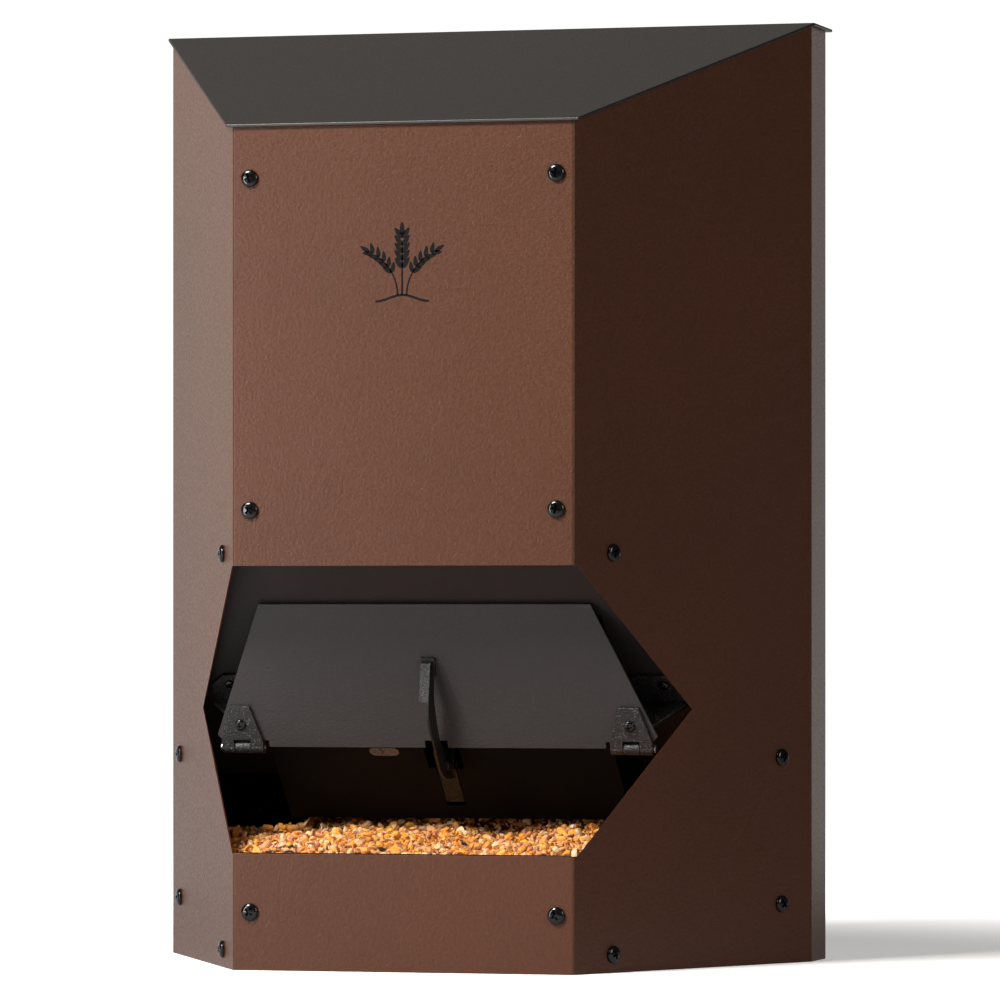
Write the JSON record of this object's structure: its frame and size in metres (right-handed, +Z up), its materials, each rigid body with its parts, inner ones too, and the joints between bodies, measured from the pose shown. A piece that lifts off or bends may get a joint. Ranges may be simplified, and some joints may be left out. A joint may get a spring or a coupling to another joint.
{
  "type": "gravity game feeder",
  "caption": "Free-standing gravity feeder: faceted sheet-metal hopper with hinged sloping roof and a motor-lifted flap over a hexagonal feeding recess.",
  "frame": {"origin": "centre of the bounding box's footprint, on the surface the feeder stands on", "axes": "+Z up, -Y out of the front panel, +X to the right seen from the front"},
  "size_m": [0.4776, 0.2734, 0.659],
  "materials": {
    "casing_brown": "fine-textured powder coat",
    "roof_dark": "fine-textured powder coat, satin",
    "inner_black": "satin powder coat",
    "flap_dark": "fine-textured powder coat",
    "moulded_black": "grainy moulded nylon",
    "box_plastic": "moulded",
    "zinc_steel": "zinc plated",
    "black_screw": "black oxide, glossy",
    "cell_wrap": "plain wrapped can",
    "board_green": "solder mask",
    "light_lens": "clear moulded",
    "wire_cover": "smooth",
    "feed_grain": "loose cracked grain"
  },
  "bodies": {
    "casing": {"front_shell": "casing_brown", "back_panel": "casing_brown", "base_pan": "inner_black", "feed_tray": "inner_black", "rear_ramp": "inner_black", "hopper_baffle": "inner_black", "top_brace": "inner_black", "drive_housing": "inner_black", "drive_cover": "inner_black", "cover_screws": "black_screw", "hinge_bracket_left": "moulded_black", "hinge_bracket_right": "moulded_black", "hinge_pin_left": "zinc_steel", "hinge_pin_right": "zinc_steel", "bracket_screws": "black_screw", "bracket_nuts": "zinc_steel", "casing_screws": "black_screw", "casing_nuts": "zinc_steel", "gear_motor": "zinc_steel", "gearbox": "zinc_steel", "motor_saddle": "box_plastic", "battery_box": "box_plastic", "battery_cells": "cell_wrap", "control_board": "board_green", "board_standoffs": "zinc_steel", "status_light": "light_lens", "battery_lead": "wire_cover", "motor_lead": "wire_cover", "roof_hinge_leaves": "zinc_steel", "roof_hinge_pins": "zinc_steel", "roof_hinge_rivets": "zinc_steel", "feed_bed": "feed_grain"},
    "roof": {"roof_lid": "roof_dark", "roof_stiffener": "inner_black", "roof_hinge_straps": "zinc_steel"},
    "flap": {"door_flap": "flap_dark", "door_hinge_leaf_left": "moulded_black", "door_hinge_leaf_right": "moulded_black", "door_screws": "black_screw", "door_nuts": "zinc_steel", "lift_arm": "moulded_black", "arm_screw": "black_screw", "arm_pivot_pin": "zinc_steel"},
    "crank": {"drive_crank": "zinc_steel", "crank_shaft": "zinc_steel", "crank_pin": "zinc_steel"},
    "link": {"drive_link": "zinc_steel"},
    "button": {"push_button": "box_plastic"}
  },
  "joints": [
    {"name": "roof_hinge", "type": "hinge", "parent": "casing", "child": "roof", "pos_m": [0, 0.1317, 0.6516], "axis": [-1, 0, 0], "range_deg": [0, 100]},
    {"name": "flap_hinge", "type": "hinge", "parent": "casing", "child": "flap", "pos_m": [0, -0.0475, 0.1515], "axis": [1, 0, 0], "range_deg": [0, 113.7]},
    {"name": "crank_turn", "type": "hinge", "parent": "casing", "child": "crank", "pos_m": [0, -0.0453, 0.201], "axis": [1, 0, 0], "range_deg": [-1, 115]},
    {"name": "link_turn", "type": "hinge", "parent": "crank", "child": "link", "pos_m": [0, -0.03399, 0.18969], "axis": [1, 0, 0], "range_deg": [-115, 1]},
    {"name": "button_press", "type": "slide", "parent": "casing", "child": "button", "axis": [0, 0.7071, 0.7071], "range_m": [0, 0.0012], "stiffness_N_per_m": 400}
  ],
  "couplings": [
    {"joint": "crank_turn", "follows": "flap_hinge", "ratio": 1},
    {"joint": "link_turn", "follows": "flap_hinge", "ratio": -1}
  ]
}
